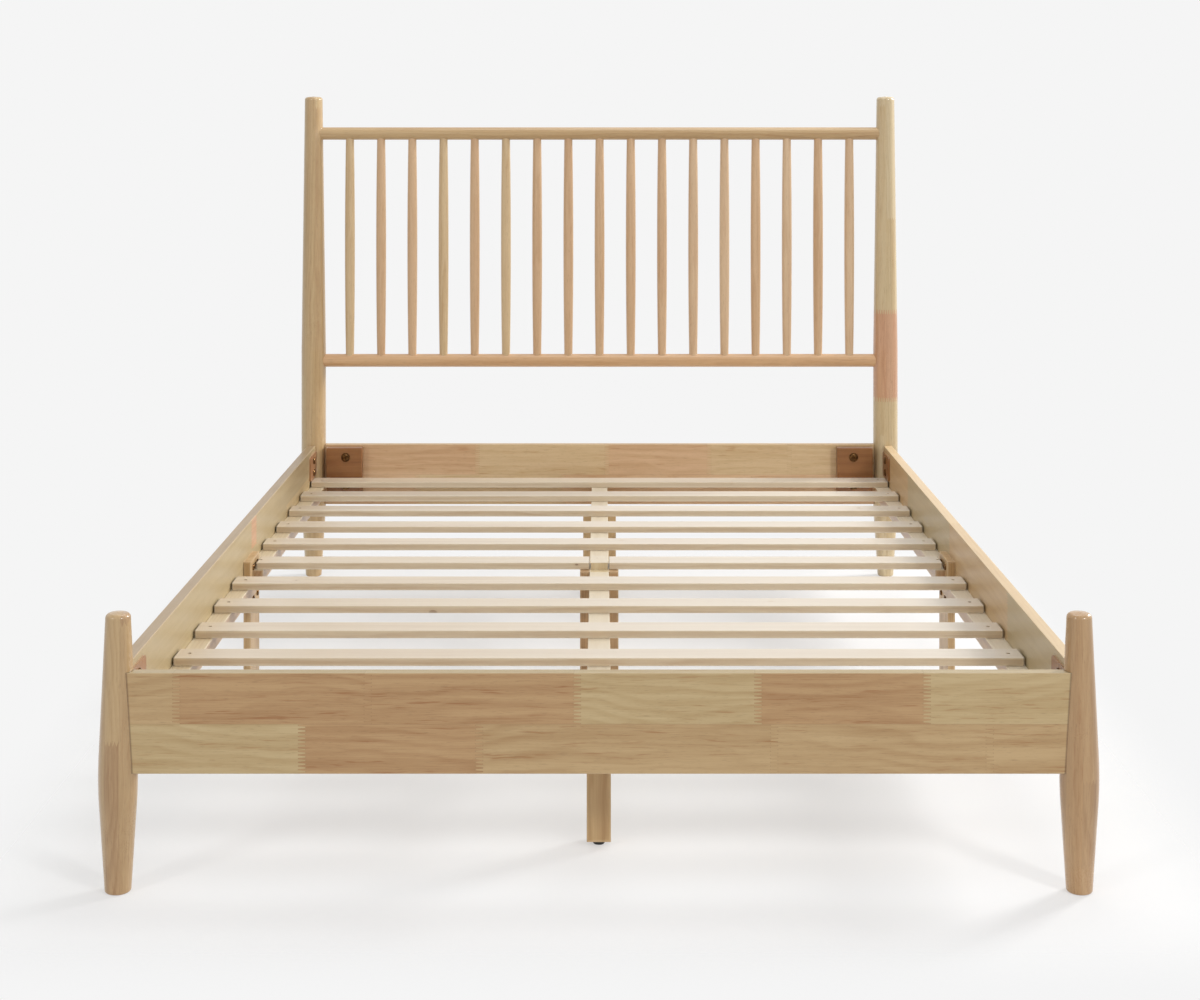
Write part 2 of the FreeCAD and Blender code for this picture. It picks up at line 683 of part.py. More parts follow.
def bolt_shape(head_dia, held):
    """A hex socket bolt. Its head stands on z = 0, and its shank goes down through what it holds."""
    shank, rim = size("bolt_dia") / 2, head_dia / 2
    top, crown = size("bolt_head_height"), size("bolt_head_crown")
    tip = size("bolt_tip_gap") - held - size("bolt_grip")
    bolt = turned_shape([(0, tip), (shank, tip), (shank, 0), (rim, 0), (rim, top - crown), (rim - crown, top),
                         (0, top)])
    return bolt.cut(prism(hexagon(size("bolt_socket_dia")), top - size("bolt_socket_depth"), top + crown))


def washer_shape():
    inner, outer = size("bolt_dia") / 2 + size("hole_gap"), size("washer_dia") / 2
    thick = size("washer_thickness")
    return turned_shape([(inner, 0), (outer, 0), (outer, thick), (inner, thick)])


def screw_shape():
    """A countersunk screw, its head's flat top at z = 0."""
    shank, head, point = size("screw_dia") / 2, size("screw_head_dia") / 2, size("screw_point_dia") / 2
    tip = -size("screw_length")
    return turned_shape([(0, tip), (point, tip), (shank, tip + size("screw_point_length")),
                         (shank, shank - head), (head, 0), (0, 0)])


def insert_shape():
    inner = size("glide_thread_dia") / 2 + size("glide_thread_gap")
    outer, length = size("insert_dia") / 2, size("insert_length")
    return turned_shape([(inner, 0), (outer, 0), (outer, length), (inner, length)])


def moved(shape, point, facing=Vector(0, 0, 1)):
    """A copy of shape at point, with its own Z turned to face the given way."""
    copy = shape.copy()
    copy.Placement = FreeCAD.Placement(point, Rotation(Vector(0, 0, 1), facing))
    return copy


def make_group(label, shapes):
    group = doc.addObject("Part::Feature", label)
    group.Label = label
    group.Shape = Part.makeCompound(shapes)
    return keep(group)


def block_bolt_seats():
    """Each block bolt's place on its block's inner face, and the way it faces."""
    seats = []
    for end in (HEAD, FOOT):
        face_y = value_of(BOARD_FACE_Y[end]) - end * size("block_thickness")
        for side in (LEFT, RIGHT):
            for height in block_bolt_heights(end):
                point = Vector(side * value_of(BLOCK_BOLT_X), face_y, value_of(height))
                seats.append((point, Vector(0, -end, 0)))
    return seats


def plate_bolt_seats():
    seats = []
    for side in (LEFT, RIGHT):
        face_x = side * (value_of(RAIL_INNER_X) - size("plate_thickness"))
        for end in (HEAD, FOOT):
            for height in plate_bolt_heights():
                point = Vector(face_x, end * value_of(PLATE_BOLT_Y), value_of(height))
                seats.append((point, Vector(-side, 0, 0)))
    return seats


def leg_bolt_seats():
    seats = []
    for side in (LEFT, RIGHT):
        face_x = side * (value_of(RAIL_INNER_X) - size("side_leg_thickness"))
        for way in (-1, 1):
            for height in ("leg_bolt_high_z", "leg_bolt_low_z"):
                along = way * size("leg_bolt_spacing_y") / 2 + size("side_leg_shift")
                point = Vector(face_x, along, size(height))
                seats.append((point, Vector(-side, 0, 0)))
    return seats


def make_bolts():
    """The bolts of the blocks, plates and side legs, those of the blocks with washers."""
    washer, thick = washer_shape(), size("washer_thickness")
    long_bolt = bolt_shape(size("bolt_head_dia"), thick + size("block_thickness"))
    plate_bolt = bolt_shape(size("bolt_head_dia"), size("plate_thickness"))
    leg_bolt = bolt_shape(size("leg_bolt_head_dia"), size("side_leg_thickness"))
    shapes = []
    for point, facing in block_bolt_seats():
        shapes.append(moved(washer, point, facing))
        shapes.append(moved(long_bolt, point + facing * thick, facing))
    shapes += [moved(plate_bolt, point, facing) for point, facing in plate_bolt_seats()]
    shapes += [moved(leg_bolt, point, facing) for point, facing in leg_bolt_seats()]
    make_group("connector_bolts", shapes)


def make_screws():
    """A screw at each outer end of each slat."""
    screw = screw_shape()
    top = value_of("ledger_top_z + slat_thickness - screw_sink")
    places = [Vector(side * value_of(SCREW_X), value_of(slat_y(station)), top)
              for station in slat_stations() for side in (LEFT, RIGHT)]
    make_group("slat_screws", [moved(screw, point) for point in places])


def make_inserts():
    shape, toe = insert_shape(), size("centre_leg_toe_z")
    make_group("glide_inserts", [moved(shape, Vector(0, value_of(y), toe)) for y in GLIDE_Y.values()])


def bored_box(corner, extents, holes, facing, radius, corners_only=False):
    """A box with holes for bolts right through its thickness.

    Its long edges are rounded, or its four corners only.
    """
    box = Part.makeBox(*extents, corner)
    rounded = [edge for edge in box.Edges
               if (edge.BoundBox.DiagonalLength < min(extents) + 0.01) == corners_only]
    box = box.makeFillet(radius, rounded)
    hole_radius, reach = size("bolt_dia") / 2 + size("hole_gap"), max(extents)
    for point in holes:
        box = box.cut(Part.makeCylinder(hole_radius, 2 * reach, point - facing * reach, facing))
    return box


def make_blocks():
    """Four hardwood blocks beside the posts, two on the head board and two on the foot board."""
    seats = block_bolt_seats()
    extents = (size("block_width"), size("block_thickness"), size("block_height"))
    shapes = []
    for number, (end, side) in enumerate([(HEAD, LEFT), (HEAD, RIGHT), (FOOT, LEFT), (FOOT, RIGHT)]):
        board_y = value_of(BOARD_FACE_Y[end])
        low_y = min(board_y, board_y - end * size("block_thickness"))
        top = size("frame_top_z") - size(BLOCK_DROP[end])
        corner = Vector(side * value_of(BLOCK_CENTRE_X) - extents[0] / 2, low_y, top - extents[2])
        holes = [point for point, facing in seats[2 * number:2 * number + 2]]
        shapes.append(bored_box(corner, extents, holes, Vector(0, 1, 0), size("small_edge_round")))
    make_group("corner_blocks", shapes)


def make_plates():
    """Four plates inside the ends of the side rails."""
    seats = plate_bolt_seats()
    extents = (size("plate_thickness"), size("plate_length"), size("plate_height"))
    shapes = []
    for number, (side, end) in enumerate([(LEFT, HEAD), (LEFT, FOOT), (RIGHT, HEAD), (RIGHT, FOOT)]):
        rail_x = side * value_of(RAIL_INNER_X)
        low_x = min(rail_x, rail_x - side * extents[0])
        end_y = value_of(PLATE_END_Y)
        low_y = end_y - extents[1] if end == HEAD else -end_y
        top = size("frame_top_z") - size("plate_drop")
        holes = [point for point, facing in seats[2 * number:2 * number + 2]]
        corner = Vector(low_x, low_y, top - extents[2])
        shapes.append(bored_box(corner, extents, holes, Vector(1, 0, 0), size("plate_corner_round"), True))
    make_group("rail_plates", shapes)


# ---- the whole bed ----

def build():
    for side in (LEFT, RIGHT):
        make_head_post(side)
        make_foot_post(side)
        make_side_rail(side)
        make_side_leg(side)
        make_cross_slat(side)
        make_cheek(side)
        for end in (HEAD, FOOT):
            make_ledger(side, end)
    make_head_rail("head_top_rail", TOP_RAIL_Z, "top_rail_dia", -1)
    make_head_rail("head_lower_rail", "lower_rail_z", "lower_rail_dia", 1)
    for number in range(1, int(size("spindle_count")) + 1):
        make_spindle(number)
    full_slats = [station for station in slat_stations() if station]
    for number, station in enumerate(reversed(full_slats), 1):
        make_slat(number, station)
    for end in (HEAD, FOOT):
        make_board(end)
        make_beam_half(end)
        make_centre_leg(end)
    make_centre_post()
    for name in GLIDE_Y:
        make_glide(name)
    make_blocks()
    make_plates()
    make_bolts()
    make_screws()
    make_inserts()
    doc.recompute()


def check():
    """Every object is sound and every node holds valid solids."""
    for item in doc.Objects:
        if {"Invalid", "Error"} & set(item.State):
            raise RuntimeError(f"{item.Label} failed: {item.State}")
    for node in nodes:
        shape = node.Shape
        if shape.isNull() or not shape.isValid() or not shape.Solids:
            raise RuntimeError(f"{node.Label} has no valid solid")


def write():
    os.makedirs("parts", exist_ok=True)
    for node in nodes:
        node.Shape.exportStep(f"parts/{node.Label}.step")
    print(f"{len(nodes)} nodes written")


build()
check()
write()
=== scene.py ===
import math

import bpy
import numpy as np
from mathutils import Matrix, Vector


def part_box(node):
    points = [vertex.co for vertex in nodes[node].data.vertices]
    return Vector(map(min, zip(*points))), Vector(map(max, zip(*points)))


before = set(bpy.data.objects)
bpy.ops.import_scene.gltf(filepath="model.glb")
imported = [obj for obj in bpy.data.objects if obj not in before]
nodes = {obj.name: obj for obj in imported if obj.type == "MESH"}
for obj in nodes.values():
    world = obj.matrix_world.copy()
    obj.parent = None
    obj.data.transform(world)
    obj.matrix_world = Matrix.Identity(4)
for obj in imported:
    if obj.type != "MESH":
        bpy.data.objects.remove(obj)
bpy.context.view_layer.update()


def srgb(red, green, blue):
    # A colour given on a screen's scale (0 to 255) turned into the light value that a shader wants.
    def toLight(part):
        part = part / 255
        return part / 12.92 if part <= 0.04045 else ((part + 0.055) / 1.055) ** 2.4
    return (toLight(red), toLight(green), toLight(blue), 1.0)


# Camera: level, at the foot of the bed, with the view slid down instead of tilted.

cameraSetup = {
    "place": (0.0036, -4.1565, 1.272),  # metres
    "lens": 56.94,                      # mm
    "sensor": 36.0,                     # mm wide
    "slideAcross": -0.00075,            # both slides are shares of the picture's width
    "slideUp": -0.3233,
}


def makeCamera():
    data = bpy.data.cameras.new("photoCamera")
    data.lens = cameraSetup["lens"]
    data.sensor_width = cameraSetup["sensor"]
    data.sensor_fit = "HORIZONTAL"
    data.shift_x = cameraSetup["slideAcross"]
    data.shift_y = cameraSetup["slideUp"]
    camera = bpy.data.objects.new("photoCamera", data)
    camera.location = cameraSetup["place"]
    camera.rotation_euler = (math.pi / 2, 0.0, 0.0)
    bpy.context.scene.collection.objects.link(camera)
    bpy.context.scene.camera = camera


makeCamera()
print("camera set")


# Small helpers for shader trees.

def feed(tree, source, socket):
    if isinstance(source, bpy.types.NodeSocket):
        tree.links.new(source, socket)
    else:
        socket.default_value = source


def calc(tree, operation, *values, clamp=False):
    node = tree.nodes.new("ShaderNodeMath")
    node.operation = operation
    node.use_clamp = clamp
    for value, socket in zip(values, node.inputs):
        feed(tree, value, socket)
    return node.outputs[0]


def plus(tree, first, second, clamp=False):
    return calc(tree, "ADD", first, second, clamp=clamp)


def minus(tree, first, second, clamp=False):
    return calc(tree, "SUBTRACT", first, second, clamp=clamp)


def times(tree, first, second):
    return calc(tree, "MULTIPLY", first, second)


def calcVector(tree, operation, *values):
    node = tree.nodes.new("ShaderNodeVectorMath")
    node.operation = operation
    for value, socket in zip(values, node.inputs):
        feed(tree, value, socket)
    return node.outputs["Value" if operation == "LENGTH" else "Vector"]


def stretch(tree, vector, factors):
    return calcVector(tree, "MULTIPLY", vector, factors)


def mixColour(tree, factor, first, second, how="MIX"):
    node = tree.nodes.new("ShaderNodeMix")
    node.data_type = "RGBA"
    node.blend_type = how
    feed(tree, factor, node.inputs[0])
    feed(tree, first, node.inputs[6])
    feed(tree, second, node.inputs[7])
    return node.outputs[2]


def mixValue(tree, factor, first, second):
    node = tree.nodes.new("ShaderNodeMix")
    feed(tree, factor, node.inputs[0])
    feed(tree, first, node.inputs[2])
    feed(tree, second, node.inputs[3])
    return node.outputs[0]


def softStep(tree, value, low, high, start=0.0, end=1.0):
    node = tree.nodes.new("ShaderNodeMapRange")
    node.interpolation_type = "SMOOTHSTEP"
    for source, socket in zip((value, low, high, start, end), node.inputs):
        feed(tree, source, socket)
    return node.outputs[0]


def splitVector(tree, vector):
    node = tree.nodes.new("ShaderNodeSeparateXYZ")
    feed(tree, vector, node.inputs[0])
    return node.outputs[0], node.outputs[1], node.outputs[2]


def joinVector(tree, *parts):
    node = tree.nodes.new("ShaderNodeCombineXYZ")
    for part, socket in zip(parts, node.inputs):
        feed(tree, part, socket)
    return node.outputs[0]


def noiseParts(tree, vector, detail, rough):
    # One even value (Fac) and three of them at once (Color).
    node = tree.nodes.new("ShaderNodeTexNoise")
    feed(tree, vector, node.inputs["Vector"])
    node.inputs["Scale"].default_value = 1.0
    node.inputs["Detail"].default_value = detail
    node.inputs["Roughness"].default_value = rough
    return node.outputs


def noise(tree, vector, detail=2.0, rough=0.5):
    return noiseParts(tree, vector, detail, rough)["Fac"]


def dice(tree, number):
    # Three steady random numbers, 0 to 1, for any number put in.
    node = tree.nodes.new("ShaderNodeTexWhiteNoise")
    node.noise_dimensions = "1D"
    feed(tree, number, node.inputs["W"])
    return splitVector(tree, node.outputs["Color"])


def newGroup(name, inputs, outputs):
    tree = bpy.data.node_groups.new(name, "ShaderNodeTree")
    for label, kind, value in inputs:
        socket = tree.interface.new_socket(label, in_out="INPUT", socket_type="NodeSocket" + kind)
        if value is not None:
            socket.default_value = value
    for label, kind in outputs:
        tree.interface.new_socket(label, in_out="OUTPUT", socket_type="NodeSocket" + kind)
    return tree, tree.nodes.new("NodeGroupInput").outputs, tree.nodes.new("NodeGroupOutput").inputs


def useGroup(tree, group, **values):
    # Puts a group into a tree; a value is given by its socket's name without the spaces.
    node = tree.nodes.new("ShaderNodeGroup")
    node.node_tree = group
    for socket in node.inputs:
        label = socket.name.replace(" ", "")
        label = label[0].lower() + label[1:]
        if label in values:
            feed(tree, values[label], socket)
    return node.outputs


def addBump(tree, shader, height, strength, distance):
    bump = tree.nodes.new("ShaderNodeBump")
    bump.inputs["Strength"].default_value = strength
    bump.inputs["Distance"].default_value = distance
    feed(tree, height, bump.inputs["Height"])
    feed(tree, bump.outputs["Normal"], shader.inputs["Normal"])


# Timber: its figure, knots, joints and edges (worn, and lit with a painted highlight), and the lacquer over
# it, each a node group.

timberShape = {
    # Noise cells per metre, along the grain first.
    "ripple": (14.0, 34.0, 34.0),
    "slow": (2.2, 7.0, 7.0),
    "band": (1.3, 48.0, 48.0),
    "fleck": (16.0, 300.0, 300.0),
    "fibre": (9.0, 480.0, 480.0),
    "pore": (55.0, 900.0, 900.0),
    "seedReach": (9.0, 4.0, 5.0),    # metres that the seed may slide the noise
    "rippleNoise": (0.0, 0.005, 0.005),
    "rippleRings": (0.0, 0.004, 0.004),
    "pithAcross": (-0.07, 0.07),     # where the pith line may lie beside the board
    "pithDeep": (-0.09, -0.03),
    "redder": (0.86, 0.66, 0.52, 1.0),
    "poreTone": (0.16, 0.08, 0.03, 1.0),
}


def makeTimberFigure():
    # Growth rings are circles round a pith line beside the board: ring number = distance / ring width.
    # The distance wanders slowly along the grain, which draws arches and waves on a sawn face, and ripples
    # a little. Bands, flecks, fibres and pores are noise drawn out long with the grain (the vector's X).
    tree, given, out = newGroup("timberFigure", (
        ("Vector", "Vector", None), ("Seed", "Float", 0.0),
        ("Pale", "Color", (0.6, 0.45, 0.28, 1)), ("Deep", "Color", (0.4, 0.25, 0.12, 1)),
        ("Ring Width", "Float", 0.006), ("Rings", "Float", 0.4), ("Streaks", "Float", 0.5),
        ("Flecks", "Float", 0.4), ("Pores", "Float", 0.4), ("Wander", "Float", 0.012),
    ), (("Colour", "Color"), ("Height", "Float")))
    middle = (0.5, 0.5, 0.5)
    chances = dice(tree, given["Seed"])
    shift = [times(tree, chance, reach) for chance, reach in zip(chances, timberShape["seedReach"])]
    start = calcVector(tree, "ADD", given["Vector"], joinVector(tree, *shift))
    ripple = noiseParts(tree, stretch(tree, start, timberShape["ripple"]), 1.0, 0.5)["Color"]
    ripple = calcVector(tree, "SUBTRACT", ripple, middle)
    place = calcVector(tree, "ADD", start, stretch(tree, ripple, timberShape["rippleNoise"]))

    slow = noiseParts(tree, stretch(tree, place, timberShape["slow"]), 2.0, 0.45)
    wander = times(tree, given["Wander"], 4.0)
    push = calcVector(tree, "SUBTRACT", slow["Color"], middle)
    push = stretch(tree, push, joinVector(tree, 0.0, wander, wander))
    push = calcVector(tree, "ADD", push, stretch(tree, ripple, timberShape["rippleRings"]))
    _, across, deep = splitVector(tree, calcVector(tree, "ADD", given["Vector"], push))
    fromPith = joinVector(tree, 0.0,
                          minus(tree, across, mixValue(tree, chances[1], *timberShape["pithAcross"])),
                          minus(tree, deep, mixValue(tree, chances[2], *timberShape["pithDeep"])))
    distance = calcVector(tree, "LENGTH", fromPith)
    ring = calc(tree, "FRACT", calc(tree, "DIVIDE", distance, given["Ring Width"]))
    late = times(tree, softStep(tree, ring, 0.15, 0.75), softStep(tree, ring, 1.0, 0.75))
    clearer = plus(tree, times(tree, softStep(tree, slow["Fac"], 0.34, 0.60), 0.75), 0.25)
    late = times(tree, late, clearer)

    band = softStep(tree, noise(tree, stretch(tree, place, timberShape["band"]), 3.0, 0.6), 0.3, 0.72)
    fleck = noise(tree, stretch(tree, place, timberShape["fleck"]), 2.0, 0.55)
    fleck = times(tree, softStep(tree, fleck, 0.56, 0.72), softStep(tree, band, 0.15, 0.8))
    fibre = noise(tree, stretch(tree, place, timberShape["fibre"]), 3.0, 0.7)
    pore = softStep(tree, noise(tree, stretch(tree, place, timberShape["pore"]), 1.0, 0.5), 0.62, 0.74)
    tone = plus(tree, times(tree, late, given["Rings"]), times(tree, band, given["Streaks"]))
    tone = plus(tree, tone, times(tree, minus(tree, fibre, 0.5), 0.9), clamp=True)
    colour = mixColour(tree, tone, given["Pale"], given["Deep"])
    red = mixColour(tree, 1.0, given["Deep"], timberShape["redder"], "MULTIPLY")
    colour = mixColour(tree, times(tree, fleck, given["Flecks"]), colour, red)
    dark = times(tree, pore, given["Pores"])
    feed(tree, mixColour(tree, times(tree, dark, 0.5), colour, timberShape["poreTone"]), out["Colour"])
    height = minus(tree, times(tree, fibre, 0.35), dark)
    feed(tree, minus(tree, height, times(tree, fleck, 0.25)), out["Height"])
    return tree


def makePinKnots():
    # Small knots: cells of a scattered point pattern, drawn out a little with the grain. Knot is 1 where
    # the distance to the point is inside the knot's size, and Swirl is a wider ring of turned grain round
    # it. About half of the points carry a knot.
    tree, given, out = newGroup("pinKnots", (
        ("Vector", "Vector", None), ("Seed", "Float", 0.0), ("Size", "Float", 0.05),
    ), (("Knot", "Float"), ("Swirl", "Float")))
    place = calcVector(tree, "ADD", given["Vector"], joinVector(tree, given["Seed"], 0.3, 0.7))
    cells = tree.nodes.new("ShaderNodeTexVoronoi")
    cells.inputs["Scale"].default_value = 1.0
    feed(tree, stretch(tree, place, (8.0, 14.0, 14.0)), cells.inputs["Vector"])
    distance = cells.outputs["Distance"]
    chance, growth, _ = splitVector(tree, cells.outputs["Color"])
    here = softStep(tree, chance, 0.45, 0.55)
    size = times(tree, given["Size"], plus(tree, growth, 0.5))
    knot = softStep(tree, distance, size, times(tree, size, 0.6))
    swirl = softStep(tree, distance, times(tree, size, 2.6), size)
    feed(tree, times(tree, knot, here), out["Knot"])
    feed(tree, times(tree, swirl, here), out["Swirl"])
    return tree


def makeCombJoint():
    # Two lengths of board meet in cut fingers: place + tooth length * steep wave of the way across.
    # Past is 1 beyond the line, and Line is 1 on it.
    tree, given, out = newGroup("combJoint", (
        ("Along", "Float", 0.0), ("Across", "Float", 0.0), ("Place", "Float", 0.0),
        ("Tooth Length", "Float", 0.012), ("Tooth Pitch", "Float", 0.006),
    ), (("Past", "Float"), ("Line", "Float")))
    turn = calc(tree, "FRACT", calc(tree, "DIVIDE", given["Across"], given["Tooth Pitch"]))
    wave = calc(tree, "ABSOLUTE", minus(tree, turn, 0.5))
    steep = plus(tree, times(tree, minus(tree, wave, 0.25), 5.0), 0.5, clamp=True)
    tooth = times(tree, minus(tree, steep, 0.5), given["Tooth Length"])
    away = plus(tree, minus(tree, given["Along"], given["Place"]), tooth)
    feed(tree, softStep(tree, away, -0.0002, 0.0002), out["Past"])
    feed(tree, softStep(tree, calc(tree, "ABSOLUTE", away), 0.0011, 0.0003), out["Line"])
    return tree


def makeRandomStaves():
    # Strips side by side, each cut into lengths: strip number = floor(across / width), and length number
    # = floor(along / length). Each length gets its own random number, and Line marks the glue between
    # the strips.
    tree, given, out = newGroup("randomStaves", (
        ("Along", "Float", 0.0), ("Across", "Float", 0.0), ("Stave Width", "Float", 0.03),
        ("Stave Length", "Float", 0.45), ("Seed", "Float", 0.0), ("Tooth Pitch", "Float", 0.006),
        ("Tooth Reach", "Float", 0.018),
    ), (("Random", "Float"), ("Line", "Float")))
    rowPlace = plus(tree, calc(tree, "DIVIDE", given["Across"], given["Stave Width"]), 0.37)
    row = calc(tree, "FLOOR", rowPlace)
    slide = dice(tree, plus(tree, times(tree, row, 3.7), given["Seed"]))[0]
    turn = calc(tree, "FRACT", calc(tree, "DIVIDE", given["Across"], given["Tooth Pitch"]))
    comb = times(tree, calc(tree, "ABSOLUTE", minus(tree, turn, 0.5)), given["Tooth Reach"])
    along = calc(tree, "DIVIDE", plus(tree, given["Along"], comb), given["Stave Length"])
    cell = calc(tree, "FLOOR", plus(tree, along, times(tree, slide, 7.0)))
    mixed = plus(tree, times(tree, cell, 1.37), times(tree, row, 5.13))
    feed(tree, dice(tree, plus(tree, mixed, given["Seed"]))[0], out["Random"])
    offCentre = calc(tree, "ABSOLUTE", minus(tree, calc(tree, "FRACT", rowPlace), 0.5))
    nearEdge = minus(tree, 1.0, times(tree, offCentre, 2.0))
    edge = times(tree, nearEdge, times(tree, given["Stave Width"], 0.5))
    feed(tree, softStep(tree, edge, 0.0007, 0.0001), out["Line"])
    return tree


def makeBoxEdges():
    # How near a point is to an edge of a square-cut piece: the second smallest of its three distances
    # to the box's faces, turned into 1 on the edge and 0 at the given width from it.
    tree, given, out = newGroup("boxEdges", (
        ("Vector", "Vector", None), ("Centre", "Vector", (0, 0, 0)), ("Half Size", "Vector", (1, 1, 1)),
        ("Width", "Float", 0.005),
    ), (("Edge", "Float"),))
    away = calcVector(tree, "ABSOLUTE", calcVector(tree, "SUBTRACT", given["Vector"], given["Centre"]))
    first, second, third = splitVector(tree, calcVector(tree, "SUBTRACT", given["Half Size"], away))
    low = calc(tree, "MINIMUM", first, second)
    high = calc(tree, "MAXIMUM", first, second)
    middle = calc(tree, "MAXIMUM", low, calc(tree, "MINIMUM", high, third))
    rub = noise(tree, stretch(tree, given["Vector"], (31.0, 31.0, 31.0)), 2.0)
    width = times(tree, given["Width"], plus(tree, rub, 0.5))
    feed(tree, softStep(tree, middle, width, 0.0), out["Edge"])
    return tree


def makeLacquer():
    # Thin lacquer: gloss drifts over a hand's width and is broken by fine dust nibs.
    tree, given, out = newGroup("lacquer", (
        ("Vector", "Vector", None), ("Rough", "Float", 0.4), ("Drift", "Float", 0.08),
        ("Height", "Float", 0.0),
    ), (("Roughness", "Float"), ("Height", "Float")))
    wide = noise(tree, stretch(tree, given["Vector"], (9.0, 9.0, 9.0)), 2.0)
    fine = noise(tree, stretch(tree, given["Vector"], (700.0, 700.0, 700.0)), 1.0)
    cloud = minus(tree, plus(tree, wide, times(tree, fine, 0.5)), 0.75)
    drift = times(tree, cloud, times(tree, given["Drift"], 2.0))
    feed(tree, plus(tree, given["Rough"], drift, clamp=True), out["Roughness"])
    feed(tree, plus(tree, given["Height"], times(tree, fine, 0.25)), out["Height"])
    return tree


timberFigure = makeTimberFigure()
pinKnots = makePinKnots()
combJoint = makeCombJoint()
randomStaves = makeRandomStaves()
boxEdges = makeBoxEdges()
lacquer = makeLacquer()
print("timber and lacquer groups ready")


# Tones of one pale hardwood, from sapwood to the redder heart. Each is (pale, deep).

timberTones = {
    "chalk": (srgb(208, 190, 162), srgb(184, 158, 126)),
    "cream": (srgb(210, 192, 156), srgb(188, 162, 120)),
    "straw": (srgb(202, 178, 134), srgb(178, 148, 102)),
    "wheat": (srgb(212, 186, 146), srgb(190, 158, 114)),
    "gold": (srgb(212, 178, 140), srgb(190, 150, 110)),
    "honey": (srgb(198, 168, 124), srgb(170, 134, 90)),
    "amber": (srgb(194, 158, 114), srgb(164, 122, 80)),
    "hay": (srgb(184, 165, 127), srgb(164, 144, 105)),
    "copper": (srgb(211, 171, 127), srgb(189, 145, 101)),
    "rose": (srgb(204, 160, 124), srgb(170, 118, 84)),
    "blush": (srgb(216, 186, 150), srgb(196, 160, 124)),
    "brown": (srgb(184, 150, 110), srgb(150, 112, 74)),
    "mauve": (srgb(167, 143, 110), srgb(147, 121, 90)),
    "russet": (srgb(172, 126, 90), srgb(140, 96, 64)),
    "umber": (srgb(150, 102, 60), srgb(112, 70, 36)),
}
glueTone = srgb(120, 84, 52)

# The edge tone is partly wear and partly a painted highlight where the rounded edges catch the light.
satin = {"rough": 0.40, "drift": 0.07, "bump": 0.25, "coat": 0.18, "coatRough": 0.22,
         "edgeTone": srgb(226, 204, 168), "edgeLift": 0.30}
bare = {"rough": 0.42, "drift": 0.06, "bump": 0.25, "coat": 0.45, "coatRough": 0.30,
        "edgeTone": srgb(232, 222, 198), "edgeLift": 0.35}


def startMaterial(name):
    material = bpy.data.materials.new(name)
    material.use_nodes = True
    tree = material.node_tree
    shader = tree.nodes["Principled BSDF"]
    place = tree.nodes.new("ShaderNodeTexCoord").outputs["Object"]
    return material, tree, shader, place


def turnGrain(tree, place, way):
    # Object place with the grain's own axis first, as one vector and as its first two parts.
    x, y, z = splitVector(tree, place)
    order = {"x": (x, z, y), "y": (y, z, x), "z": (z, x, y)}[way]
    return joinVector(tree, *order), order[0], order[1]


def blendTone(tree, mask, pale, deep, tone):
    # Where the mask is 1, the wood takes the named tone.
    newPale, newDeep = timberTones[tone]
    return mixColour(tree, mask, pale, newPale), mixColour(tree, mask, deep, newDeep)


def boxMask(tree, place, node, width=0.005):
    low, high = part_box(node)
    centre, half = (low + high) / 2, (high - low) / 2
    edges = useGroup(tree, boxEdges, vector=place, centre=tuple(centre), halfSize=tuple(half), width=width)
    return edges["Edge"]


def finishWood(tree, shader, place, colour, height, edge, look):
    # Edges take a lighter tone: partly wear, partly a painted highlight.
    if edge is not None:
        colour = mixColour(tree, times(tree, edge, look["edgeLift"]), colour, look["edgeTone"])
    coat = useGroup(tree, lacquer, vector=place, rough=look["rough"], drift=look["drift"], height=height)
    feed(tree, colour, shader.inputs["Base Color"])
    feed(tree, coat["Roughness"], shader.inputs["Roughness"])
    addBump(tree, shader, coat["Height"], look["bump"], 0.0004)
    shader.inputs["IOR"].default_value = 1.48
    shader.inputs["Coat Weight"].default_value = look["coat"]
    shader.inputs["Coat Roughness"].default_value = look["coatRough"]


def dress(node, material):
    if not nodes[node].data.materials:
        nodes[node].data.materials.append(material)
    for slot in nodes[node].material_slots:
        slot.material = material


# Foot board, head board and side rails: two strips glued edge to edge, each made of lengths joined by cut
# fingers, with a planed top edge of its own tone; on the side rails that tone also carries painted light and
# shade.

endBoardFinish = {
    "figure": {"ringWidth": 0.007, "rings": 0.35, "streaks": 0.5, "flecks": 0.7, "pores": 0.5,
               "wander": 0.012},
    "topEdgeFrom": (0.3600, 0.3607),  # heights where the top edge's tone begins and is full
    "glueSeam": True,                 # the seam between the two strips shows as a line
    "lineTone": srgb(110, 74, 44),
    "lineDark": 0.22,
    "lineDepth": 0.3,
    "edgeWidth": 0.0018,
}

sideRailFinish = {
    "figure": {"ringWidth": 0.009, "rings": 0.22, "streaks": 0.3, "flecks": 0.15, "pores": 0.25,
               "wander": 0.010},
    "topEdgeFrom": (0.3598, 0.3606),
    "glueSeam": False,
    "lineTone": glueTone,
    "lineDark": 0.15,
    "lineDepth": 0.0,
    "edgeWidth": 0.003,
}

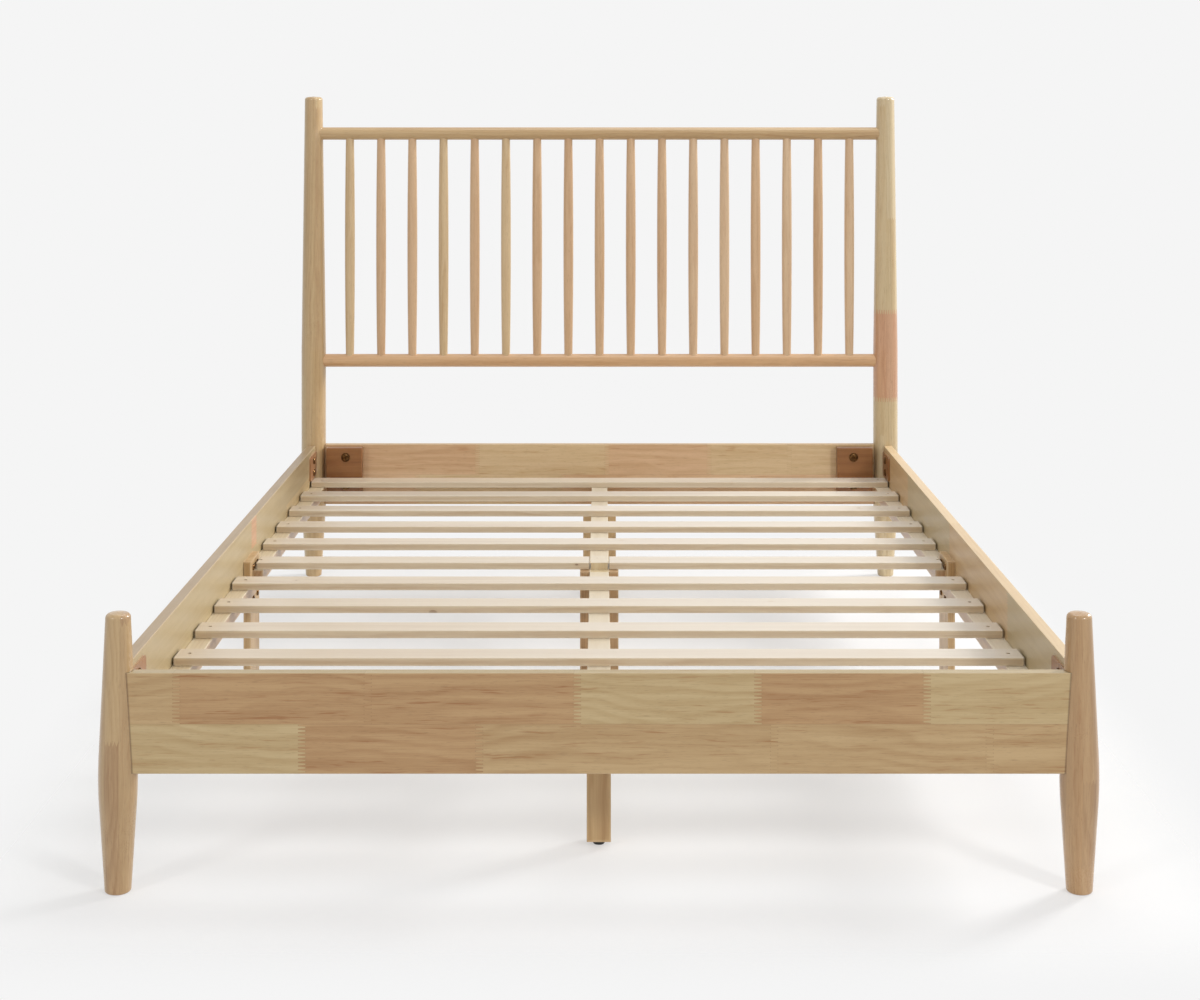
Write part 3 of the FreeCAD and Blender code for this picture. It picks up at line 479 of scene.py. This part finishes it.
longBoards = {
    "foot_board": {
        "material": "footBoardWood", "grain": "x", "seed": 11.0, "finish": endBoardFinish,
        "topEdge": "hay",
        "glueLine": 0.278,  # height of the seam between the two strips
        "upper": {"joints": (-0.686, -0.375, -0.035, 0.259, 0.533),
                  "tones": ("honey", "amber", "amber", "straw", "amber", "straw")},
        "lower": {"joints": (-0.482, -0.194, 0.285, 0.635),
                  "tones": ("straw", "amber", "honey", "honey", "honey")},
        "post": {"x": 0.785, "y": -1.0565, "radius": 0.0329, "thickAt": 0.182, "fall": 0.047},
    },
    "head_board": {
        "material": "headBoardWood", "grain": "x", "seed": 53.0, "finish": endBoardFinish,
        "topEdge": "honey",
        "glueLine": 0.278,
        "upper": {"joints": (-0.335, 0.02, 0.30, 0.52),
                  "tones": ("gold", "wheat", "gold", "wheat", "wheat")},
        "lower": {"joints": (-0.50, -0.10, 0.41),
                  "tones": ("gold", "wheat", "gold", "gold")},
        "post": {"x": 0.785, "y": 1.0565, "radius": 0.0333, "thickAt": 0.62, "fall": 0.0},
    },
    "side_rail_left": {
        "material": "side_rail_left_wood", "grain": "y", "seed": 71.0, "finish": sideRailFinish,
        # Painted shade: this top edge is toned darker than the right rail's, which faces up the same way.
        "topEdge": "mauve",
        "glueLine": 0.296,
        "upper": {"joints": (-0.42, 0.08, 0.14), "tones": ("hay", "hay", "rose", "hay")},
        "lower": {"joints": (-0.16, 0.55), "tones": ("hay", "hay", "straw")},
    },
    "side_rail_right": {
        "material": "side_rail_right_wood", "grain": "y", "seed": 84.0, "finish": sideRailFinish,
        # Painted reflection: this top edge is toned lighter, for the reflection of the lamp at the right.
        "topEdge": "wheat",
        "glueLine": 0.262,
        "upper": {"joints": (-0.55, 0.05, 0.62), "tones": ("hay", "honey", "hay", "honey")},
        "lower": {"joints": (-0.25, 0.35), "tones": ("honey", "hay", "honey")},
    },
}


def layStrip(tree, along, across, strip, seed):
    # Walks along a strip: after each joint the tone and the random number change.
    pale, deep = timberTones[strip["tones"][0]]
    number, line = seed, 0.0
    for index, joint in enumerate(strip["joints"], start=1):
        cut = useGroup(tree, combJoint, along=along, across=across, place=joint)
        pale, deep = blendTone(tree, cut["Past"], pale, deep, strip["tones"][index])
        number = mixValue(tree, cut["Past"], number, seed + 1.7 * index)
        line = calc(tree, "MAXIMUM", cut["Line"], line)
    return pale, deep, number, line


def postSeam(tree, place, post):
    # The shadow line where a board enters a turned post: distance to the post's axis, less its radius
    # there. The radius falls evenly from the thick place to the tip.
    x, y, z = splitVector(tree, place)
    across = minus(tree, calc(tree, "ABSOLUTE", x), post["x"])
    fromAxis = calcVector(tree, "LENGTH", joinVector(tree, across, minus(tree, y, post["y"]), 0.0))
    fall = times(tree, minus(tree, z, post["thickAt"]), post["fall"])
    radius = minus(tree, post["radius"], calc(tree, "MAXIMUM", fall, 0.0))
    return softStep(tree, minus(tree, fromAxis, radius), 0.0026, 0.0008)


def makeLongBoard(node, look):
    material, tree, shader, place = startMaterial(look["material"])
    finish, glueLine = look["finish"], look["glueLine"]
    grain, along, up = turnGrain(tree, place, look["grain"])
    upper = layStrip(tree, along, up, look["upper"], look["seed"])
    lower = layStrip(tree, along, up, look["lower"], look["seed"] + 31.0)
    above = softStep(tree, up, glueLine - 0.0002, glueLine + 0.0002)
    pale = mixColour(tree, above, lower[0], upper[0])
    deep = mixColour(tree, above, lower[1], upper[1])
    number = mixValue(tree, above, lower[2], upper[2])
    line = mixValue(tree, above, lower[3], upper[3])
    topEdge = softStep(tree, up, *finish["topEdgeFrom"])
    pale, deep = blendTone(tree, topEdge, pale, deep, look["topEdge"])
    if finish["glueSeam"]:
        away = calc(tree, "ABSOLUTE", minus(tree, up, glueLine))
        line = calc(tree, "MAXIMUM", line, softStep(tree, away, 0.0007, 0.0002))
    figure = useGroup(tree, timberFigure, vector=grain, seed=number, pale=pale, deep=deep,
                      **finish["figure"])
    colour = mixColour(tree, times(tree, line, finish["lineDark"]), figure["Colour"], finish["lineTone"])
    if "post" in look:
        shadow = times(tree, postSeam(tree, place, look["post"]), 0.55)
        colour = mixColour(tree, shadow, colour, srgb(92, 62, 38))
    height = minus(tree, figure["Height"], times(tree, line, finish["lineDepth"]))
    edge = boxMask(tree, place, node, finish["edgeWidth"])
    finishWood(tree, shader, place, colour, height, edge, satin)
    dress(node, material)


for node, look in longBoards.items():
    makeLongBoard(node, look)
print("boards and side rails dressed")


# Posts: turned from blanks glued up of upright strips. Each strip lies between the post's two tones.

postLooks = {
    "head_post_left": {"tones": ("straw", "honey"), "seed": 3.0},
    "head_post_right": {"tones": ("cream", "straw"), "seed": 8.0, "redLength": (0.486, 0.726)},
    "foot_post_left": {"tones": ("honey", "brown"), "seed": 15.0},
    "foot_post_right": {"tones": ("amber", "brown"), "seed": 22.0},
}
postStaves = {"staveWidth": 0.024, "staveLength": 0.9}
postFigure = {"ringWidth": 0.006, "rings": 0.3, "streaks": 0.45, "flecks": 0.3, "pores": 0.5,
              "wander": 0.008}
postFinish = dict(satin, rough=0.30, coat=0.45, coatRough=0.06)


def makePostWood(node, look):
    material, tree, shader, place = startMaterial(node + "_wood")
    grain, along, across = turnGrain(tree, place, "z")
    staves = useGroup(tree, randomStaves, along=along, across=across, seed=look["seed"], **postStaves)
    pale, deep = timberTones[look["tones"][0]]
    pale, deep = blendTone(tree, staves["Random"], pale, deep, look["tones"][1])
    number = plus(tree, times(tree, staves["Random"], 40.0), look["seed"])
    if "redLength" in look:
        start, end = (useGroup(tree, combJoint, along=along, across=across, place=cut)["Past"]
                      for cut in look["redLength"])
        red = minus(tree, start, end, clamp=True)
        pale, deep = blendTone(tree, red, pale, deep, "rose")
        number = plus(tree, number, times(tree, red, 9.0))
    figure = useGroup(tree, timberFigure, vector=grain, seed=number, pale=pale, deep=deep, **postFigure)
    colour = mixColour(tree, times(tree, staves["Line"], 0.10), figure["Colour"], glueTone)
    finishWood(tree, shader, place, colour, figure["Height"], None, postFinish)
    dress(node, material)


for node, look in postLooks.items():
    makePostWood(node, look)
print("posts dressed")


# Round rails and spindles.

railLooks = {
    "head_top_rail": {"tone": "honey", "seed": 4.0},
    "head_lower_rail": {"tone": "copper", "seed": 9.0},
}
spindleLooks = {
    "pitch": 0.0857,  # metres between two spindles
    "usual": {"tone": "gold", "seed": 5.0},
    "pale": {"tone": "wheat", "seed": 6.0},
    "light": {"tone": "blush", "seed": 7.0},
}
spindleRow = ("pale", "usual", "usual", "pale", "usual", "pale", "usual", "usual", "usual", "usual", "usual",
              "light", "light", "usual", "light", "usual", "light")
turnedFigure = {"ringWidth": 0.006, "rings": 0.35, "streaks": 0.5, "flecks": 0.35, "pores": 0.5,
                "wander": 0.007}
turnedFinish = dict(satin, rough=0.33, coat=0.3, coatRough=0.14)


def makeTurnedWood(name, way, look, pitch=1.0):
    # Every piece has its own random number: the place across the row, counted in pieces.
    material, tree, shader, place = startMaterial(name)
    grain, _, across = turnGrain(tree, place, way)
    number = plus(tree, calc(tree, "ROUND", times(tree, across, 1 / pitch)), look["seed"])
    pale, deep = timberTones[look["tone"]]
    figure = useGroup(tree, timberFigure, vector=grain, seed=number, pale=pale, deep=deep, **turnedFigure)
    finishWood(tree, shader, place, figure["Colour"], figure["Height"], None, turnedFinish)
    return material


for node, look in railLooks.items():
    dress(node, makeTurnedWood(node + "_wood", "x", look))
spindleWoods = {kind: makeTurnedWood(kind + "SpindleWood", "z", spindleLooks[kind], spindleLooks["pitch"])
                for kind in ("usual", "pale", "light")}
for number, kind in enumerate(spindleRow, start=1):
    dress(f"spindle_{number:02d}", spindleWoods[kind])
print("rails and spindles dressed")


# Slats, ledgers, the centre beam and its legs: planed, with little or no lacquer. The blocks and plates
# are a darker hardwood. A piece's seed is its kind's seed plus a step for each piece before it.

planedFigure = {"ringWidth": 0.008, "rings": 0.35, "streaks": 0.45, "flecks": 0.15, "pores": 0.2,
                "wander": 0.009}
legFigure = dict(planedFigure, ringWidth=0.005, rings=0.5, streaks=0.6)
legFinish = dict(satin, coat=0.05)

planedLooks = {
    "slats": {
        "starts": ("cross_slat", "slat_0", "slat_1"),  # how the pieces' names start
        "grain": "x", "tone": "chalk", "seed": 101.0, "step": 2.3,
        "figure": planedFigure, "finish": bare, "paleTop": 0.21, "knots": 0.06, "darkEnds": 0.8,
    },
    "centreBeam": {
        "starts": ("centre_beam",), "grain": "y", "tone": "cream", "seed": 151.0, "step": 3.1,
        "figure": planedFigure, "finish": bare, "paleTop": 0.18, "knots": 0.05,
    },
    "centrePost": {
        "starts": ("centre_post",), "grain": "z", "tone": "cream", "seed": 157.2, "step": 0.0,
        "figure": planedFigure, "finish": bare, "paleTop": 0.18, "knots": 0.05,
    },
    "ledgers": {
        # The faces below the top take a darker brown: painted shade.
        "starts": ("ledger",), "grain": "y", "tone": "cream", "belowTop": "brown", "seed": 160.3, "step": 3.1,
        "figure": planedFigure, "finish": bare, "paleTop": 0.18, "knots": 0.05,
    },
    "cheeks": {
        "starts": ("centre_cheek",), "grain": "z", "tone": "brown", "seed": 201.0, "step": 3.7,
        "figure": legFigure, "finish": legFinish,
    },
    "legs": {
        "starts": ("centre_leg", "side_leg"), "grain": "z", "tone": "honey", "seed": 208.4, "step": 3.7,
        "figure": legFigure, "finish": legFinish,
    },
    "blocks": {
        "starts": ("corner_blocks",), "grain": "x", "tone": "umber", "seed": 251.0, "step": 0.0,
        "figure": dict(planedFigure, rings=0.2), "finish": dict(satin, rough=0.34),
        "material": "blockWood",
    },
    "plates": {
        "starts": ("rail_plates",), "grain": "z", "tone": "umber", "leftHalf": "russet", "seed": 271.0,
        "step": 0.0, "figure": dict(planedFigure, rings=0.3, flecks=0.6),
        "finish": dict(satin, rough=0.36), "material": "plateWood",
    },
}

# Painted light on the top faces, painted shade at the slat ends, and the knots' own tone.
topLightEndShadeAndKnots = {
    "tone": srgb(234, 232, 226),
    "across": (-0.65, 0.35),   # painted light: the top faces get lighter between these places across the bed, toward the lamp's side,
    "paler": (0.8, 2.1),       # by these factors on the piece's own top light share
    # painted shade: the dark line at the slat ends stands for the shadow in the gap beside them
    "endTone": srgb(96, 72, 48),
    "knotTone": srgb(118, 84, 58),
}


def makePlanedWood(node, look, seed):
    # The top light share is painted light that lightens the top face, more towards the bed's right where the
    # key lamp stands;
    # the end gap shade is painted shade, a dark line at each end for the gap beside it. LeftHalf is the tone
    # in the bed's left half, and the shaded sides tone is painted shade on all but the top face.
    material, tree, shader, place = startMaterial(look.get("material", node + "_wood"))
    grain, _, _ = turnGrain(tree, place, look["grain"])
    x, _, z = splitVector(tree, place)
    low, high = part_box(node)
    pale, deep = timberTones[look["tone"]]
    if "leftHalf" in look:
        pale, deep = blendTone(tree, softStep(tree, x, 0.01, -0.01), pale, deep, look["leftHalf"])
    # Painted shade: all faces below the top take the darker tone.
    if "belowTop" in look:
        sideShade = softStep(tree, z, high.z - 0.0010, high.z - 0.0024)
        pale, deep = blendTone(tree, sideShade, pale, deep, look["belowTop"])
    figure = useGroup(tree, timberFigure, vector=grain, seed=seed, pale=pale, deep=deep, **look["figure"])
    colour, height = figure["Colour"], figure["Height"]
    # Painted light: the top face is lightened, more towards the bed's right, where the key lamp stands.
    if "paleTop" in look:
        face = softStep(tree, z, high.z - 0.0012, high.z - 0.0002)
        share = softStep(tree, x, *topLightEndShadeAndKnots["across"], *topLightEndShadeAndKnots["paler"])
        paler = times(tree, share, look["paleTop"])
        colour = mixColour(tree, times(tree, face, paler), colour, topLightEndShadeAndKnots["tone"])
    # Painted shade: a dark line at each end for the shadow in the narrow gap beside it.
    if "darkEnds" in look:
        reach = calc(tree, "MINIMUM", minus(tree, x, low.x), minus(tree, high.x, x))
        endShade = times(tree, softStep(tree, reach, 0.0022, 0.0012), look["darkEnds"])
        colour = mixColour(tree, endShade, colour, topLightEndShadeAndKnots["endTone"])
    if "knots" in look:
        knot = useGroup(tree, pinKnots, vector=grain, seed=seed, size=look["knots"])
        colour = mixColour(tree, times(tree, knot["Swirl"], 0.35), colour, deep)
        colour = mixColour(tree, times(tree, knot["Knot"], 0.75), colour, topLightEndShadeAndKnots["knotTone"])
        height = minus(tree, height, times(tree, knot["Knot"], 0.5))
    finishWood(tree, shader, place, colour, height, boxMask(tree, place, node), look["finish"])
    dress(node, material)


for look in planedLooks.values():
    for index, node in enumerate(sorted(name for name in nodes if name.startswith(look["starts"]))):
        makePlanedWood(node, look, look["seed"] + look["step"] * index)
print("slats, beams, legs and blocks dressed")


# Fasteners and glides.

metalLooks = {
    # Dark bronze; the tone is also kept dark as painted shade for the holes round the plate and leg bolts.
    "connector_bolts": {"material": "bronzePlate", "tone": srgb(84, 58, 34), "worn": srgb(128, 96, 60),
                        "rough": 0.22},
    "slat_screws": {"material": "greyPlate", "tone": srgb(128, 118, 104), "worn": srgb(176, 168, 152),
                    "rough": 0.42},
    "glide_inserts": {"material": "brassInsert", "tone": srgb(190, 158, 98), "worn": srgb(226, 204, 150),
                      "rough": 0.35},
}
glideLook = {
    "nodes": ("glide_foot", "glide_middle", "glide_head"),
    "tone": srgb(34, 33, 32),
    "scuffed": srgb(70, 68, 65),
    "rough": 0.35,
}


def makePlatedMetal():
    # Plating: broad cloudy stains, and fine marks as noise drawn out upwards.
    tree, given, out = newGroup("platedMetal", (
        ("Vector", "Vector", None), ("Rough", "Float", 0.3),
        ("Tone", "Color", (0.7, 0.6, 0.4, 1)), ("Worn", "Color", (0.9, 0.8, 0.6, 1)),
    ), (("Colour", "Color"), ("Roughness", "Float"), ("Height", "Float")))
    cloud = noise(tree, stretch(tree, given["Vector"], (160.0, 160.0, 160.0)), 3.0)
    stain = softStep(tree, cloud, 0.35, 0.7)
    feed(tree, mixColour(tree, stain, given["Tone"], given["Worn"]), out["Colour"])
    rough = plus(tree, given["Rough"], times(tree, minus(tree, cloud, 0.5), 0.25), clamp=True)
    feed(tree, rough, out["Roughness"])
    feed(tree, noise(tree, stretch(tree, given["Vector"], (2400.0, 2400.0, 500.0)), 2.0), out["Height"])
    return tree


platedMetal = makePlatedMetal()


def makeMetal(node, look):
    material, tree, shader, place = startMaterial(look["material"])
    plate = useGroup(tree, platedMetal, vector=place, rough=look["rough"], tone=look["tone"],
                     worn=look["worn"])
    feed(tree, plate["Colour"], shader.inputs["Base Color"])
    feed(tree, plate["Roughness"], shader.inputs["Roughness"])
    shader.inputs["Metallic"].default_value = 1.0
    addBump(tree, shader, plate["Height"], 0.15, 0.0001)
    dress(node, material)


def makeGlidePlastic():
    # Moulded black plastic: fine grit, and paler scuffs as broader noise.
    material, tree, shader, place = startMaterial("glidePlastic")
    grit = noise(tree, stretch(tree, place, (900.0, 900.0, 900.0)), 2.0)
    scuff = noise(tree, stretch(tree, place, (120.0, 120.0, 60.0)), 3.0)
    colour = mixColour(tree, softStep(tree, scuff, 0.45, 0.8), glideLook["tone"], glideLook["scuffed"])
    feed(tree, colour, shader.inputs["Base Color"])
    feed(tree, plus(tree, times(tree, scuff, 0.3), glideLook["rough"]), shader.inputs["Roughness"])
    addBump(tree, shader, grit, 0.3, 0.0002)
    for node in glideLook["nodes"]:
        dress(node, material)


for node, look in metalLooks.items():
    makeMetal(node, look)
makeGlidePlastic()
print("fasteners and glides dressed")


# Studio: a pale floor that fades into a pale surround, and soft lamps.

studio = {
    "surround": srgb(245, 245, 245),
    "skyLevel": 0.50,
    "floorTone": (0.90, 0.90, 0.90, 1.0),
    "floorRings": (0.01, 1.5, 3.0, 4.5, 6.0),  # radii in metres
    "floorTurns": 64,
    "floorLift": 0.50,             # how far the camera sees the floor as the surround
    "bedHalf": (0.83, 1.10, 0.0),  # the floor fades out beyond the bed's own outline
    "fadeStart": 0.0,
    "fadeEnd": 0.34,
    "lamps": (
        # name, place, aimed at, width, height, watts
        ("keyLamp", (4.6, 2.4, 3.0), (0.0, 0.2, 0.4), 1.3, 1.6, 232.0),
        ("frontLampRight", (4.2, -5.2, 3.6), (0.0, 0.2, 0.4), 0.9, 1.2, 142.0),
        ("frontLampLeft", (-4.2, -5.2, 3.4), (0.0, 0.2, 0.4), 0.9, 1.2, 68.0),
        ("topLamp", (0.4, 0.8, 4.4), (0.0, 0.2, 0.3), 2.6, 2.6, 50.0),
    ),
}


def anyRay(tree, *kinds):
    path = tree.nodes.new("ShaderNodeLightPath")
    seen = path.outputs[kinds[0]]
    for kind in kinds[1:]:
        seen = calc(tree, "MAXIMUM", seen, path.outputs[kind])
    return seen


def mixShader(tree, factor, first, second):
    node = tree.nodes.new("ShaderNodeMixShader")
    feed(tree, factor, node.inputs[0])
    feed(tree, first.outputs[0], node.inputs[1])
    feed(tree, second.outputs[0], node.inputs[2])
    return node


def makeWorld():
    world = bpy.data.worlds.new("studioSurround")
    bpy.context.scene.world = world
    world.use_nodes = True
    tree = world.node_tree
    tree.nodes.clear()
    lit = tree.nodes.new("ShaderNodeBackground")
    lit.inputs["Color"].default_value = (1.0, 1.0, 1.0, 1.0)
    lit.inputs["Strength"].default_value = studio["skyLevel"]
    shown = tree.nodes.new("ShaderNodeBackground")
    shown.inputs["Color"].default_value = studio["surround"]
    shown.inputs["Strength"].default_value = 1.0
    seen = anyRay(tree, "Is Camera Ray", "Is Glossy Ray", "Is Transmission Ray")
    pick = mixShader(tree, seen, lit, shown)
    feed(tree, pick.outputs[0], tree.nodes.new("ShaderNodeOutputWorld").inputs[0])


def makeFloorMaterial():
    # The floor is half diffuse and half the surround's own light. It turns clear with the distance
    # beyond the bed's outline.
    material = bpy.data.materials.new("studioFloor")
    material.use_nodes = True
    tree = material.node_tree
    tree.nodes.clear()
    place = tree.nodes.new("ShaderNodeTexCoord").outputs["Object"]
    diffuse = tree.nodes.new("ShaderNodeBsdfDiffuse")
    diffuse.inputs["Color"].default_value = studio["floorTone"]
    glow = tree.nodes.new("ShaderNodeEmission")
    glow.inputs["Color"].default_value = studio["surround"]
    seen = anyRay(tree, "Is Camera Ray", "Is Glossy Ray")
    lifted = mixShader(tree, times(tree, seen, studio["floorLift"]), diffuse, glow)
    outside = calcVector(tree, "SUBTRACT", calcVector(tree, "ABSOLUTE", place), studio["bedHalf"])
    away = calcVector(tree, "LENGTH", calcVector(tree, "MAXIMUM", outside, (0.0, 0.0, 0.0)))
    fade = softStep(tree, away, studio["fadeStart"], studio["fadeEnd"])
    faded = mixShader(tree, fade, lifted, tree.nodes.new("ShaderNodeBsdfTransparent"))
    feed(tree, faded.outputs[0], tree.nodes.new("ShaderNodeOutputMaterial").inputs[0])
    return material


def makeFloor():
    # A flat disc: point = radius * (cos turn, sin turn), on a grid of radius by turn.
    radii, count = np.array(studio["floorRings"]), studio["floorTurns"]
    turns = np.linspace(0.0, 2 * math.pi, count, endpoint=False)
    ring, turn = np.meshgrid(radii, turns, indexing="ij")
    points = np.stack([ring * np.cos(turn), ring * np.sin(turn), 0 * ring], axis=-1).reshape(-1, 3)
    index = np.arange(len(radii) * count).reshape(len(radii), count)
    inner, outer = index[:-1], index[1:]
    faces = np.stack([inner, outer, np.roll(outer, -1, 1), np.roll(inner, -1, 1)], axis=-1).reshape(-1, 4)
    mesh = bpy.data.meshes.new("studioFloor")
    mesh.from_pydata(points.tolist(), [], faces.tolist() + [index[0].tolist()])
    mesh.materials.append(makeFloorMaterial())
    floor = bpy.data.objects.new("studioFloor", mesh)
    bpy.context.scene.collection.objects.link(floor)


def makeLamps():
    for name, place, aim, width, height, watts in studio["lamps"]:
        data = bpy.data.lights.new(name, "AREA")
        data.shape = "RECTANGLE"
        data.size = width
        data.size_y = height
        data.energy = watts
        lamp = bpy.data.objects.new(name, data)
        lamp.location = place
        lamp.visible_camera = False
        lamp.rotation_euler = (Vector(aim) - Vector(place)).to_track_quat("-Z", "Y").to_euler()
        bpy.context.scene.collection.objects.link(lamp)


makeWorld()
makeFloor()
makeLamps()
bpy.context.scene.view_settings.view_transform = "Standard"
print("studio set")
